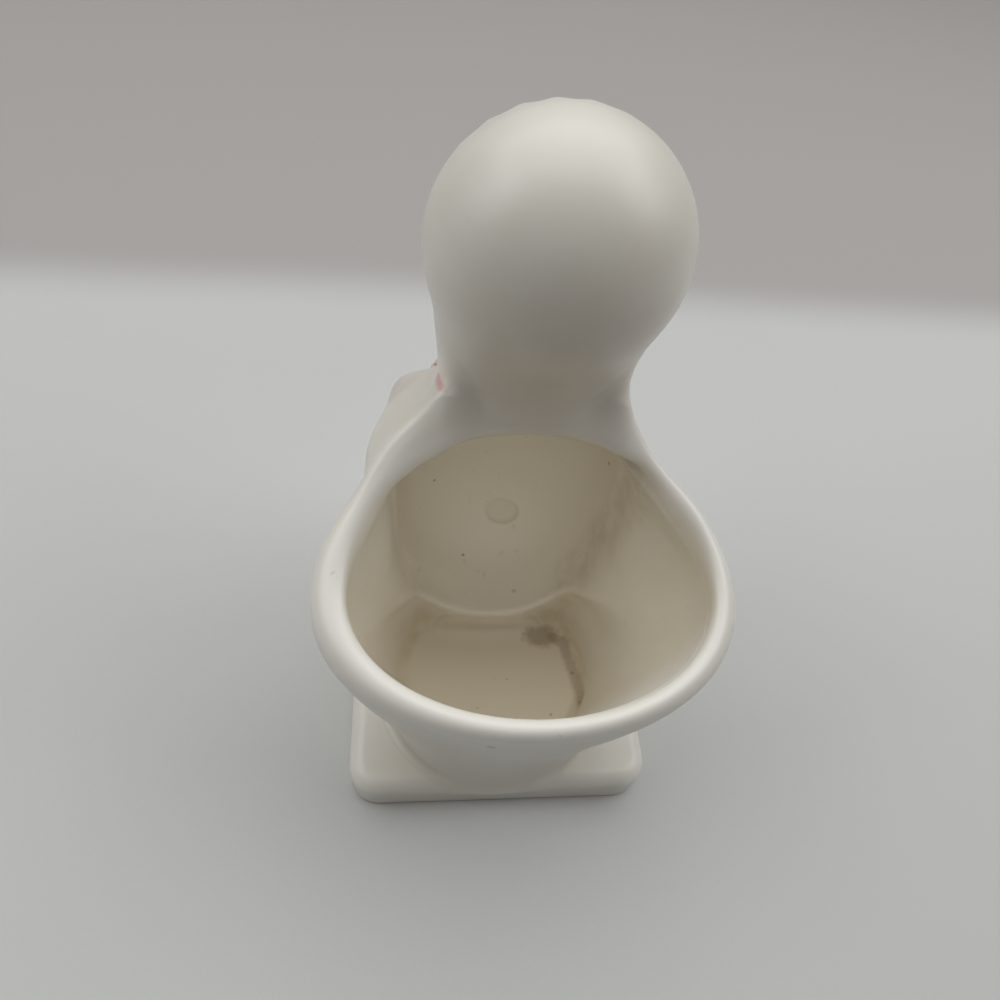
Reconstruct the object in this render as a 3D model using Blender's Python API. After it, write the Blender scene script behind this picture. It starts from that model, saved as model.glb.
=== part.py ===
"""Figural baby planter in glazed slip-cast earthenware.

A seated baby whose hollow body is the pot, open at the back, on a low
rectangular plinth.  Millimetres in the constants below, metres in the scene.
Front of the figure is -Y, +Z is up, the underside of the plinth is z = 0.
"""
import math
import bpy
import bmesh
from mathutils import Vector, Matrix

MM = 0.001
GAP = 0.3                    # slip joint between neighbouring castings

# plinth
PLINTH_W = 80.0
PLINTH_BACK = 40.0
PLINTH_FRONT = -51.6
PLINTH_H = 12.0
PLINTH_CORNER_R = 8.0
PLINTH_EDGE_R = 3.6
FOOT_W = 8.0                 # width of the ground foot around the recess
FOOT_RECESS = 2.0

# pot: height, half width, back y, front y of the oval section
POT_STATIONS = (
    (12.0, 29.8, 40.2, -9.0),
    (22.0, 32.0, 40.6, -8.5),
    (36.0, 36.0, 42.2, -8.5),
    (50.0, 39.8, 44.8, -8.5),
    (64.0, 42.8, 48.0, -9.0),
    (76.0, 44.0, 50.6, -9.3),
    (86.0, 43.2, 51.6, -9.5),
    (96.0, 41.6, 51.5, -9.5),
    (116.0, 40.8, 51.4, -9.5),
)
WALL = 5.0
FLOOR_Z = 16.5

# rim: inner edge of the opening
RIM_A = 35.8
RIM_B = 25.6
RIM_Y = 22.0
RIM_Z = 89.0
RIM_TILT = 9.2
RIM_DIP = 3.0
LIP = 4.6

# torso bulging forward of the pot
TORSO_C = (1.6, -13.5, 64.0)
TORSO_R = (31.5, 26.0, 42.0)
TORSO_POW = 2.5
SHOULDER_C = (21.0, -8.0, 85.0)    # raised left shoulder
SHOULDER_R = (13.0, 15.0, 15.0)

# neck and head
NECK_C = (0.0, -18.2)
NECK_R = (19.2, 12.8)
HEAD_C = (-1.5, -22.0, 132.3)
HEAD_R = (25.0, 22.6, 24.7)
HEAD_WALL = 4.0
NOSE_C = (-1.5, -44.6, 124.2)
NOSE_R = 2.5
CHEEK_X = 7.6                # cheeks each side of the middle of the head
CHEEK_Y = -36.0
CHEEK_Z = 123.4
CHEEK_R = 6.6

# bonnet brim framing the face
BRIM_C = (-1.5, -37.3, 129.8)
BRIM_R = (17.9, 17.9)
BRIM_LEAN = -6.0
BRIM_TUBE = 2.2
BRIM_SCALLOPS = 16

# ribbon and bow
RIBBON_HALF_W = 1.9
RIBBON_Z = 104.0
RIBBON_RISE = 1.0             # lifts towards its ends
BOW_C = (-0.7, -37.2, 104.0)

RING_N = 48


# ---------------------------------------------------------------- helpers
def clear_scene():
    for ob in list(bpy.data.objects):
        bpy.data.objects.remove(ob, do_unlink=True)
    for me in list(bpy.data.meshes):
        bpy.data.meshes.remove(me)
    for cu in list(bpy.data.curves):
        bpy.data.curves.remove(cu)


clear_scene()
PARTS = bpy.data.collections.new("figural_baby_planter")
CUTTERS = bpy.data.collections.new("cutters")
bpy.context.scene.collection.children.link(PARTS)
bpy.context.scene.collection.children.link(CUTTERS)


def material(name, rgb, rough):
    mat = bpy.data.materials.new(name)
    mat.use_nodes = True
    bsdf = mat.node_tree.nodes["Principled BSDF"]
    bsdf.inputs["Base Color"].default_value = (*rgb, 1.0)
    bsdf.inputs["Roughness"].default_value = rough
    return mat


MATS = {
    "glaze": material("white_glaze", (0.80, 0.77, 0.71), 0.18),
    "base": material("plinth_glaze", (0.78, 0.75, 0.69), 0.2),
    "face": material("head_glaze", (0.80, 0.75, 0.69), 0.2),
    "pink": material("pink_glaze", (0.74, 0.50, 0.50), 0.2),
    "trim": material("trim_glaze", (0.80, 0.76, 0.72), 0.2),
    "skin": material("limb_glaze", (0.80, 0.71, 0.65), 0.2),
}


def smoothstep(a, b, x):
    t = min(1.0, max(0.0, (x - a) / (b - a)))
    return t * t * (3.0 - 2.0 * t)


def smin(a, b, k):
    h = max(k - abs(a - b), 0.0) / k
    return min(a, b) - h * h * k * 0.25


def mesh_object(name, bm, coll):
    bmesh.ops.recalc_face_normals(bm, faces=bm.faces)
    me = bpy.data.meshes.new(name)
    bm.to_mesh(me)
    bm.free()
    ob = bpy.data.objects.new(name, me)
    coll.objects.link(ob)
    if coll is CUTTERS:
        ob.hide_render = True
        ob.display_type = "WIRE"
    return ob


def part(name, bm, mat, smooth=True):
    ob = mesh_object(name, bm, PARTS)
    ob.data.materials.append(MATS[mat])
    for poly in ob.data.polygons:
        poly.use_smooth = smooth
    return ob


def cutter(name, bm):
    return mesh_object(name, bm, CUTTERS)


def boolean(ob, other, op):
    mod = ob.modifiers.new(op.lower() + "_" + other.name, "BOOLEAN")
    mod.operation = op
    mod.object = other
    mod.solver = "EXACT"
    return mod


def baked(ob, name):
    """Mesh copy of an object with its modifiers applied, as a bmesh."""
    dg = bpy.context.evaluated_depsgraph_get()
    dg.update()
    me = bpy.data.meshes.new_from_object(ob.evaluated_get(dg))
    bm = bmesh.new()
    bm.from_mesh(me)
    bpy.data.meshes.remove(me)
    return bm


def inflated(ob, name, dist):
    """Clearance copy of a part: every face moved out by dist."""
    bm = baked(ob, name)
    bmesh.ops.triangulate(bm, faces=bm.faces)
    bm.normal_update()
    moves = []
    for v in bm.verts:
        n = v.normal.copy()
        spread = min([abs(n.dot(f.normal)) for f in v.link_faces] + [1.0])
        moves.append(v.co + n * (dist * MM / max(0.55, spread)))
    for v, co in zip(bm.verts, moves):
        v.co = co
    return cutter(name, bm)


def ellipsoid(bm, centre, radii, seg=24, rings=14, rot=None):
    m = Matrix.Translation(Vector(centre) * MM)
    if rot is not None:
        m = m @ rot
    m = m @ Matrix.Diagonal((radii[0] * MM, radii[1] * MM, radii[2] * MM, 1.0))
    return bmesh.ops.create_uvsphere(bm, u_segments=seg, v_segments=rings,
                                     radius=1.0, matrix=m)


def ellipsoid_bm(centre, radii, seg=24, rings=14, rot=None):
    bm = bmesh.new()
    ellipsoid(bm, centre, radii, seg, rings, rot)
    return bm


def block_bm(lo, hi):
    bm = bmesh.new()
    bmesh.ops.create_cube(bm, size=1.0)
    for v in bm.verts:
        v.co = Vector([(lo[i] + (v.co[i] + 0.5) * (hi[i] - lo[i])) * MM
                       for i in range(3)])
    return bm


def tube_bm(points, radii, res=5, closed=False, steps=6, flat=1.0, roll=None):
    """Curve with a round bevel, thickness set by the radius at each point."""
    cu = bpy.data.curves.new("tube_curve", "CURVE")
    cu.dimensions = "3D"
    cu.resolution_u = steps
    cu.bevel_depth = MM
    cu.bevel_resolution = res
    cu.use_fill_caps = True
    sp = cu.splines.new("NURBS" if not closed else "POLY")
    sp.points.add(len(points) - 1)
    for p, co, r in zip(sp.points, points, radii):
        p.co = (co[0] * MM, co[1] * MM, co[2] * MM, 1.0)
        p.radius = r
    sp.use_cyclic_u = closed
    if not closed:
        sp.use_endpoint_u = True
        sp.order_u = 3
    ob = bpy.data.objects.new("tube_curve", cu)
    CUTTERS.objects.link(ob)
    bm = baked(ob, "tube")
    bpy.data.objects.remove(ob, do_unlink=True)
    bpy.data.curves.remove(cu)
    bmesh.ops.remove_doubles(bm, verts=bm.verts, dist=1e-6)
    return bm


def joined(name, bms, mat):
    """One casting from several overlapping solids, fused by booleans."""
    ob = part(name, bms[0], mat)
    for i, bm in enumerate(bms[1:]):
        boolean(ob, cutter("%s_add%d" % (name, i), bm), "UNION")
    return ob


# ---------------------------------------------------------------- body field
def station(z, col):
    rows = POT_STATIONS
    if z <= rows[0][0]:
        return rows[0][col]
    if z >= rows[-1][0]:
        return rows[-1][col]
    for i in range(len(rows) - 1):
        a, b = rows[i], rows[i + 1]
        if z <= b[0]:
            h = b[0] - a[0]
            t = (z - a[0]) / h

            def slope(j):
                lo, hi = rows[max(0, j - 1)], rows[min(len(rows) - 1, j + 1)]
                return (hi[col] - lo[col]) / (hi[0] - lo[0])

            m0, m1 = slope(i) * h, slope(i + 1) * h
            t2, t3 = t * t, t * t * t
            return (a[col] * (2 * t3 - 3 * t2 + 1) + m0 * (t3 - 2 * t2 + t)
                    + b[col] * (3 * t2 - 2 * t3) + m1 * (t3 - t2))
    return rows[-1][col]


def pot_field(x, y, z, inset):
    a = station(z, 1) - inset
    back, front = station(z, 2) - inset, station(z, 3) + inset
    yc, b = 0.5 * (back + front), 0.5 * (back - front)
    q = math.hypot(x / a, (y - yc) / b)
    return (q - 1.0) * min(a, b)


def torso_field(x, y, z, inset):
    q = 0.0
    for v, c, r in zip((x, y, z), TORSO_C, TORSO_R):
        q += (abs(v - c) / (r - inset)) ** TORSO_POW
    return (q ** (1.0 / TORSO_POW) - 1.0) * (TORSO_R[1] - inset)


def shoulder_field(x, y, z):
    q = 0.0
    for v, c, r in zip((x, y, z), SHOULDER_C, SHOULDER_R):
        q += ((v - c) / r) ** 2
    return (math.sqrt(q) - 1.0) * SHOULDER_R[0]


def neck_field(x, y, z):
    q = math.hypot(x / NECK_R[0], (y - NECK_C[1]) / NECK_R[1])
    return (q - 1.0) * NECK_R[1]


def outer_field(x, y, z):
    d = smin(pot_field(x, y, z, 0.0), torso_field(x, y, z, 0.0), 7.0)
    d = smin(d, shoulder_field(x, y, z), 7.0)
    if z > 84.0:
        lift = (1.0 - smoothstep(84.0, 100.0, z)) * 14.0
        d = smin(d, neck_field(x, y, z) + lift, 7.0)
    return d


def inner_field(x, y, z):
    return smin(pot_field(x, y, z, WALL), torso_field(x, y, z, WALL), 9.0)


def rim_point(t, out):
    """Point on the rim curve, moved outwards by out; t = 0 at the back."""
    c, s = math.cos(t), math.sin(t)
    front = smoothstep(0.35, 1.0, -c)
    reach = out * (1.0 + front * (25.5 / LIP - 1.0))
    x, y = RIM_A * s, RIM_Y + RIM_B * c
    nx, ny = s / RIM_A, c / RIM_B
    n = math.hypot(nx, ny)
    z = RIM_Z - RIM_TILT * c + RIM_DIP * math.cos(2.0 * t)
    return x + reach * nx / n, y + reach * ny / n, z


def ray_hit(field, t, z, shift):
    """Distance factor along the oval ray t at height z where field = shift."""
    c, s = math.cos(t), math.sin(t)

    def at(k):
        return field(RIM_A * s * k, RIM_Y - 4.0 + (RIM_B - 4.0) * c * k, z) - shift

    k0, k1 = 0.15, 0.15
    while k1 < 3.2 and at(k1) <= 0.0:
        k0, k1 = k1, k1 + 0.02
    for _ in range(24):
        km = 0.5 * (k0 + k1)
        if at(km) <= 0.0:
            k0 = km
        else:
            k1 = km
    k = 0.5 * (k0 + k1)
    return RIM_A * s * k, RIM_Y - 4.0 + (RIM_B - 4.0) * c * k


OUTER_S = (0.0, 0.06, 0.12, 0.18, 0.25, 0.34, 0.45, 0.57, 0.69, 0.79, 0.87,
           0.93, 0.97)
INNER_S = (0.045, 0.09, 0.15, 0.24, 0.36, 0.48, 0.60, 0.69, 0.76, 0.82,
           0.88, 0.95, 1.0)


def outer_rings(shift, foot_z, top_lift):
    rings = []
    for s in OUTER_S:
        ring = []
        for i in range(RING_N):
            t = 2.0 * math.pi * i / RING_N
            top = rim_point(t, LIP)[2] + top_lift
            z = foot_z + s * (top - foot_z)
            x, y = ray_hit(outer_field, t, z, shift)
            ring.append((x, y, z))
        rings.append(ring)
    return rings


def lip_ring(out, dz):
    ring = []
    for i in range(RING_N):
        x, y, z = rim_point(2.0 * math.pi * i / RING_N, out)
        ring.append((x, y, z + dz))
    return ring


def inner_rings():
    rings = []
    for s in INNER_S:
        ring = []
        for i in range(RING_N):
            t = 2.0 * math.pi * i / RING_N
            top = rim_point(t, 0.0)[2] - 2.5
            z = top + s * (FLOOR_Z - top)
            hx, hy = ray_hit(inner_field, t, z, 0.0)
            rx, ry, _ = rim_point(t, 0.0)
            # stays under the lip close to the opening, then follows the wall
            w = smoothstep(0.0, 0.14, s)
            fillet = max(0.0, (s - 0.86) / 0.14)
            pull = 1.0 - 0.10 * fillet * fillet
            x, y = rx + (hx - rx) * w, ry + (hy - ry) * w
            cx, cy = TORSO_C[0], 15.0
            ring.append((cx + (x - cx) * pull, cy + (y - cy) * pull, z))
        rings.append(ring)
    return rings


def loft_bm(rings, closed_loop):
    """Skin over matching rings; the ends are capped unless it is a loop."""
    bm = bmesh.new()
    rows = [[bm.verts.new(Vector(p) * MM) for p in ring] for ring in rings]
    n = len(rows[0])
    for a, b in zip(rows[:-1], rows[1:]):
        for i in range(n):
            j = (i + 1) % n
            bm.faces.new((a[i], a[j], b[j], b[i]))
    if not closed_loop:
        for row in (rows[0], rows[-1]):
            cx = sum((v.co for v in row), Vector()) / n
            hub = bm.verts.new(cx)
            for i in range(n):
                bm.faces.new((row[i], row[(i + 1) % n], hub))
    return bm


# ---------------------------------------------------------------- plinth
def rounded_block_bm(x0, x1, y0, y1, z0, z1, corner, edge):
    bm = block_bm((x0, y0, z0), (x1, y1, z1))
    upright = [e for e in bm.edges
               if abs(e.verts[0].co.z - e.verts[1].co.z) > 0.4 * (z1 - z0) * MM]
    bmesh.ops.bevel(bm, geom=upright, offset=corner * MM, segments=6,
                    profile=0.5, affect="EDGES")
    if edge > 0.0:
        top = [e for e in bm.edges
               if min(e.verts[0].co.z, e.verts[1].co.z) > (z1 - 0.01) * MM]
        bmesh.ops.bevel(bm, geom=top, offset=edge * MM, segments=4,
                        profile=0.5, affect="EDGES")
    return bm


HALF = PLINTH_W / 2.0
plinth = part("plinth", rounded_block_bm(-HALF, HALF, PLINTH_FRONT, PLINTH_BACK,
                                         0.0, PLINTH_H, PLINTH_CORNER_R,
                                         PLINTH_EDGE_R), "base")
recess = cutter("recess", rounded_block_bm(
    -HALF + FOOT_W, HALF - FOOT_W, PLINTH_FRONT + FOOT_W, PLINTH_BACK - FOOT_W,
    -4.0, FOOT_RECESS, PLINTH_CORNER_R - 2.0, 0.0))
boolean(plinth, recess, "DIFFERENCE")

# ---------------------------------------------------------------- pot body
FOOT_Z = PLINTH_H + GAP
rings = outer_rings(0.0, FOOT_Z, -2.6)
rings.append(lip_ring(LIP - 0.7, -0.8))
rings.append(lip_ring(LIP * 0.5, 0.0))
rings.append(lip_ring(0.7, -0.8))
rings.append(lip_ring(0.0, -2.5))
rings.extend(inner_rings())
pot_body = part("pot_body", loft_bm(rings, False), "glaze")

# clearance around the body, used to trim everything luted onto it
clear_rings = outer_rings(GAP + 0.55, FOOT_Z, -2.6)
clear_rings.insert(0, [(x, y, z - 6.0) for x, y, z in clear_rings[0]])
clear_rings.append(lip_ring(LIP - 0.3, -0.3))
clear_rings.append(lip_ring(LIP * 0.5, GAP + 0.2))
clear_rings.append(lip_ring(0.4, -0.3))
body_clear = cutter("body_clear", loft_bm(clear_rings, False))
plinth_clear = cutter("plinth_clear", block_bm((-90, -90, -20), (90, 90, PLINTH_H + GAP)))

# ---------------------------------------------------------------- head
NECK_LOW, NECK_TOP = 92.0, 122.0


def neck_bm(inset, low, high, flare):
    bm = bmesh.new()
    bmesh.ops.create_cone(
        bm, cap_ends=True, segments=32, radius1=1.0 + flare, radius2=1.0,
        depth=1.0)
    for v in bm.verts:
        v.co = Vector((v.co.x * (NECK_R[0] - inset) * MM,
                       (v.co.y * (NECK_R[1] - inset) + NECK_C[1]) * MM,
                       (low + (v.co.z + 0.5) * (high - low)) * MM))
    return bm


head = joined("head", [
    ellipsoid_bm(HEAD_C, HEAD_R, 36, 20),
    neck_bm(0.0, NECK_LOW, NECK_TOP, 0.0),
    ellipsoid_bm(NOSE_C, (NOSE_R, NOSE_R, NOSE_R), 12, 8),
    ellipsoid_bm((HEAD_C[0] + CHEEK_X, CHEEK_Y, CHEEK_Z), (CHEEK_R,) * 3, 18, 10),
    ellipsoid_bm((HEAD_C[0] - CHEEK_X, CHEEK_Y, CHEEK_Z), (CHEEK_R,) * 3, 18, 10),
], "face")
boolean(head, cutter("head_hollow", ellipsoid_bm(
    HEAD_C, [r - HEAD_WALL for r in HEAD_R], 24, 14)), "DIFFERENCE")
boolean(head, cutter("pour_hole", neck_bm(7.0, 80.0, 124.0, 0.0)), "DIFFERENCE")
boolean(head, body_clear, "DIFFERENCE")
head_clear = inflated(head, "head_clear", GAP + 0.05)

# ---------------------------------------------------------------- brim
lean = Matrix.Rotation(math.radians(-BRIM_LEAN), 3, "X")
pts, rad = [], []
STEPS = BRIM_SCALLOPS * 3
for i in range(STEPS):
    a = 2.0 * math.pi * i / STEPS
    p = Vector(BRIM_C) + lean @ Vector((BRIM_R[0] * math.sin(a), 0.0,
                                        BRIM_R[1] * math.cos(a)))
    pts.append(p)
    rad.append(BRIM_TUBE * (1.0 + 0.16 * math.cos(BRIM_SCALLOPS * a)))
bonnet_brim = part("bonnet_brim", tube_bm(pts, rad, res=2, closed=True), "trim")
boolean(bonnet_brim, head_clear, "DIFFERENCE")
brim_clear = inflated(bonnet_brim, "brim_clear", GAP + 0.05)

# ---------------------------------------------------------------- ribbon, bow
RIBBON_SWEEP = 92.0          # degrees each side of the front
ribbon_pts = []
for i in range(13):
    a = math.radians(RIBBON_SWEEP) * (i / 6.0 - 1.0)
    ribbon_pts.append(((NECK_R[0] + 1.1) * math.sin(a),
                       NECK_C[1] - (NECK_R[1] + 1.1) * math.cos(a),
                       RIBBON_Z + RIBBON_RISE * smoothstep(0.55, 1.0, abs(i / 6.0 - 1.0))))
neck_ribbon = part("neck_ribbon", tube_bm(ribbon_pts, [RIBBON_HALF_W] * 13,
                                          res=1, steps=2), "pink")
boolean(neck_ribbon, head_clear, "DIFFERENCE")
boolean(neck_ribbon, body_clear, "DIFFERENCE")
boolean(neck_ribbon, brim_clear, "DIFFERENCE")
ribbon_clear = inflated(neck_ribbon, "ribbon_clear", GAP + 0.05)


def bow_side(sign):
    loop_rot = Matrix.Rotation(sign * math.radians(-16.0), 4, "Y")
    tail_rot = Matrix.Rotation(sign * math.radians(-24.0), 4, "Y")
    bx, by, bz = BOW_C
    return [ellipsoid_bm((bx + sign * 7.6, by + 0.6, bz + 1.6), (6.6, 3.0, 4.4),
                         16, 10, loop_rot),
            ellipsoid_bm((bx + sign * 4.4, by + 0.4, bz - 7.4), (2.9, 1.8, 7.4),
                         12, 8, tail_rot)]


chin_bow = joined("chin_bow", [ellipsoid_bm(BOW_C, (3.5, 3.4, 3.4), 16, 10)]
                  + bow_side(1.0) + bow_side(-1.0), "pink")
for clear in (body_clear, head_clear, brim_clear, ribbon_clear):
    boolean(chin_bow, clear, "DIFFERENCE")
bow_clear = inflated(chin_bow, "bow_clear", GAP + 0.1)

# ---------------------------------------------------------------- collar bib
BIB_T = 1.7
BIB_C = (0.0, 93.0)
BIB_R = (19.0, 17.0)
BIB_SCALLOPS = 14
bib_rows = []
for y in (-60.0, -14.0):
    row = []
    for i in range(BIB_SCALLOPS * 4):
        a = 2.0 * math.pi * i / (BIB_SCALLOPS * 4)
        k = 1.0 + 0.055 * abs(math.cos(BIB_SCALLOPS * a / 2.0))
        row.append((BIB_C[0] + BIB_R[0] * k * math.sin(a), y,
                    BIB_C[1] + BIB_R[1] * k * math.cos(a)))
    bib_rows.append(row)
collar = part("collar", loft_bm(outer_rings(GAP + 0.55 + BIB_T, FOOT_Z, -5.0),
                                False), "trim")
boolean(collar, cutter("bib_outline", loft_bm(bib_rows, False)), "INTERSECT")
for clear in (body_clear, head_clear, ribbon_clear, bow_clear):
    boolean(collar, clear, "DIFFERENCE")
collar_clear = inflated(collar, "collar_clear", GAP + 0.1)

# ---------------------------------------------------------------- legs
def leg(name, s):
    hip, knee, ankle = (s * 20.5, -10.0, 25.0), (s * 23.5, -28.0, 25.5), (s * 18.5, -41.0, 21.5)
    ob = joined(name, [
        tube_bm((hip, (s * 23.0, -19.0, 26.5), knee, (s * 21.5, -36.0, 23.5), ankle),
                (11.2, 11.6, 10.4, 8.6, 7.0), res=3, steps=2),
        ellipsoid_bm((s * 18.0, -44.4, 21.6), (7.4, 7.0, 9.8), 18, 11,
                     Matrix.Rotation(math.radians(14.0), 4, "X")),
        ellipsoid_bm((s * 21.0, -8.0, 24.6), (11.4, 12.0, 11.0), 20, 11),
    ], "skin")
    for clear in (plinth_clear, body_clear):
        boolean(ob, clear, "DIFFERENCE")
    return ob


left_leg = leg("left_leg", 1.0)
right_leg = leg("right_leg", -1.0)
leg_clear = [inflated(left_leg, "left_leg_clear", GAP + 0.1),
             inflated(right_leg, "right_leg_clear", GAP + 0.1)]

# ---------------------------------------------------------------- arms
def arm(name, sleeve_c, sleeve_r, path, radii, hand_c, hand_r):
    ob = joined(name, [
        ellipsoid_bm(sleeve_c, sleeve_r, 20, 12),
        tube_bm(path, radii, res=3, steps=3),
        ellipsoid_bm(hand_c, hand_r, 18, 10),
    ], "skin")
    for clear in (body_clear, head_clear, ribbon_clear, collar_clear, bow_clear,
                  leg_clear[0], leg_clear[1]):
        boolean(ob, clear, "DIFFERENCE")
    return ob


left_arm = arm("left_arm", (22.4, -20.6, 89.0), (11.0, 10.6, 10.8),
               ((22.4, -20.6, 89.0), (29.0, -26.4, 81.0), (31.0, -32.6, 73.0),
                (23.5, -39.6, 71.6), (15.6, -42.2, 73.4)),
               (7.8, 7.6, 7.4, 6.4, 4.8), (11.8, -43.2, 74.6), (5.6, 4.2, 5.0))
right_arm = arm("right_arm", (-18.6, -25.4, 80.4), (10.2, 10.2, 10.4),
                ((-18.6, -25.4, 80.4), (-25.6, -28.0, 71.0), (-30.0, -31.4, 61.0),
                 (-27.6, -37.0, 53.6), (-23.0, -41.0, 48.6)),
                (7.0, 6.8, 6.8, 6.2, 4.8), (-20.6, -43.4, 45.0), (5.4, 4.4, 5.8))
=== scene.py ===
import math

import bpy
import numpy as np
from mathutils import Matrix, Vector


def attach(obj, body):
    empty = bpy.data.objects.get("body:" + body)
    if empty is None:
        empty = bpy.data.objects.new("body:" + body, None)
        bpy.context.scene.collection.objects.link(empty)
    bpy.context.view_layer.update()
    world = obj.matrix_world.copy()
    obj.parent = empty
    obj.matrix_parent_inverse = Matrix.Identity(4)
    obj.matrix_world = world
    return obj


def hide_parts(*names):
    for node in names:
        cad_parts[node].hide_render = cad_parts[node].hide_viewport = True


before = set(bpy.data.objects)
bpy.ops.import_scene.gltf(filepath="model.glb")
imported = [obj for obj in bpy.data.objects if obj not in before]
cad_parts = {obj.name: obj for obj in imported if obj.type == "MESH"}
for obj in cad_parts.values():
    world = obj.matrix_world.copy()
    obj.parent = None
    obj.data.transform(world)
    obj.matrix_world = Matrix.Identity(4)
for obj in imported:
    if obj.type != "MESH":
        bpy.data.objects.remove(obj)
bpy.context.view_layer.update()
FINE = 1.0          # grid coarsening while trying things

MM = 0.001

# =====================================================================
#  Solid modelling with distance fields, in millimetres.
#  The figure faces -Y, the pot opens at the top and back, z = 0 is the shelf.
# =====================================================================


def smin(a, b, k):
    h = np.maximum(k - np.abs(a - b), 0.0) / k
    return np.minimum(a, b) - h * h * (k * 0.25)


def smax(a, b, k):
    return -smin(-a, -b, k)


def sstep(a, b, x):
    t = np.clip((x - a) / (b - a), 0.0, 1.0)
    return t * t * (3.0 - 2.0 * t)


def unit(v):
    v = np.asarray(v, float)
    return v / np.linalg.norm(v)


def rot(axis, deg):
    m = Matrix.Rotation(math.radians(deg), 3, axis)
    return np.array([list(r) for r in m])


def ell(p, c, r, R=None):
    q = p - np.asarray(c, p.dtype)
    if R is not None:
        q = q @ np.asarray(R, p.dtype)
    r = np.asarray(r, p.dtype)
    k0 = np.sqrt(((q / r) ** 2).sum(1))
    k1 = np.sqrt(((q / (r * r)) ** 2).sum(1))
    return k0 * (k0 - 1.0) / np.maximum(k1, 1e-6)


def supell(p, c, r, n):
    q = np.abs(p - np.asarray(c, p.dtype)) / np.asarray(r, p.dtype)
    s = (q ** n).sum(1)
    k0 = s ** (1.0 / n)
    g = np.sqrt(((q ** (n - 1) / np.asarray(r, p.dtype)) ** 2).sum(1))
    g = g * np.maximum(s, 1e-9) ** (1.0 / n - 1.0)
    return (k0 - 1.0) / np.maximum(g, 1e-3)


def cap(p, a, b, ra, rb):
    a, b = np.asarray(a, p.dtype), np.asarray(b, p.dtype)
    d = b - a
    t = np.clip(((p - a) @ d) / (d @ d), 0.0, 1.0)
    return np.linalg.norm(p - (a + t[:, None] * d), axis=1) - (ra + (rb - ra) * t)


def ring(p, c, axis, R, r):
    q = p - np.asarray(c, p.dtype)
    axis = np.asarray(unit(axis), p.dtype)
    h = q @ axis
    rad = np.sqrt(np.maximum((q * q).sum(1) - h * h, 0.0))
    return np.hypot(rad - R, h) - r


def table(rows):
    rows = np.array(rows, float)
    z = rows[:, 0]
    zz = np.linspace(z[0], z[-1], 300)
    cols = [zz]
    for c in range(1, rows.shape[1]):
        v = rows[:, c]
        m = np.gradient(v, z)
        i = np.clip(np.searchsorted(z, zz, side="right") - 1, 0, len(z) - 2)
        h = z[i + 1] - z[i]
        t = (zz - z[i]) / h
        cols.append(v[i] * (2 * t ** 3 - 3 * t ** 2 + 1) + m[i] * h * (t ** 3 - 2 * t ** 2 + t)
                    + v[i + 1] * (3 * t ** 2 - 2 * t ** 3) + m[i + 1] * h * (t ** 3 - t ** 2))
    return cols


# ---- pot -------------------------------------------------------------
#              height  half width  back y  front y  centre x
OUTER = table(((8.0, 29.6, 40.4, -20.0, 1.0),
               (12.0, 29.8, 40.2, -20.0, 1.0),
               (22.0, 32.0, 40.6, -20.0, 0.8),
               (36.0, 36.0, 42.2, -17.0, 0.5),
               (50.0, 39.8, 44.8, -12.0, 0.2),
               (64.0, 42.8, 48.0, -9.6, 0.1),
               (76.0, 43.9, 50.6, -9.2, 0.5),
               (86.0, 42.6, 51.6, -9.5, 1.0),
               (96.0, 40.8, 51.4, -9.5, 1.2),
               (125.0, 39.9, 51.4, -9.5, 1.2)))
INNER = table(((10.0, 26.2, 35.3, -15.0, 1.8),
               (16.5, 26.4, 35.5, -15.0, 1.8),
               (24.0, 27.8, 36.2, -15.0, 1.8),
               (32.0, 30.2, 37.4, -13.0, 1.5),
               (40.0, 32.2, 38.6, -8.0, 1.2),
               (50.0, 34.6, 40.2, -4.4, 0.8),
               (66.0, 37.4, 43.8, -4.0, 0.3),
               (78.0, 37.4, 46.4, -4.6, 0.0),
               (86.0, 36.4, 47.2, -3.7, 0.0),
               (98.0, 36.0, 47.4, -3.7, 0.0),
               (125.0, 36.0, 47.4, -3.7, 0.0)))
FLOOR = 16.5
RIM_B, RIM_Y, RIM_Z, RIM_TILT, RIM_DIP = 26.4, 22.0, 89.4, 9.2, 3.0


def rim_z(y):
    u = np.clip((y - RIM_Y) / RIM_B, -1.12, 1.25)
    return RIM_Z - RIM_TILT * u + RIM_DIP * (2.0 * u * u - 1.0)


def oval(p, tab):
    z = p[:, 2]
    zz, a, back, front, xc = tab
    a = np.interp(z, zz, a)
    back, front = np.interp(z, zz, back), np.interp(z, zz, front)
    x = p[:, 0] - np.interp(z, zz, xc)
    b = 0.5 * (back - front)
    y = p[:, 1] - 0.5 * (back + front)
    k0 = np.hypot(x / a, y / b)
    k1 = np.hypot(x / (a * a), y / (b * b))
    return k0 * (k0 - 1.0) / np.maximum(k1, 1e-6)


TORSO_C, TORSO_R, TORSO_N = (1.6, -13.5, 64.0), (31.5, 26.0, 42.0), 2.5
SHOULDER_C, SHOULDER_R = (21.0, -8.0, 85.0), (13.0, 15.0, 15.0)     # raised left shoulder
BOWL_C, BOWL_R = (2.6, -6.2, 64.0), (27.4, 27.8, 36.0)
LIP_X, LIP_Y, LIP_Z = 2.4, -2.2, 24.6      # shelf under the torso hollow, above the pot floor


def f_torso(p):
    d = supell(p, TORSO_C, TORSO_R, TORSO_N)
    return smin(d, ell(p, SHOULDER_C, SHOULDER_R), 8.0)


def shells(p):
    return oval(p, OUTER), oval(p, INNER), f_torso(p)


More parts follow.
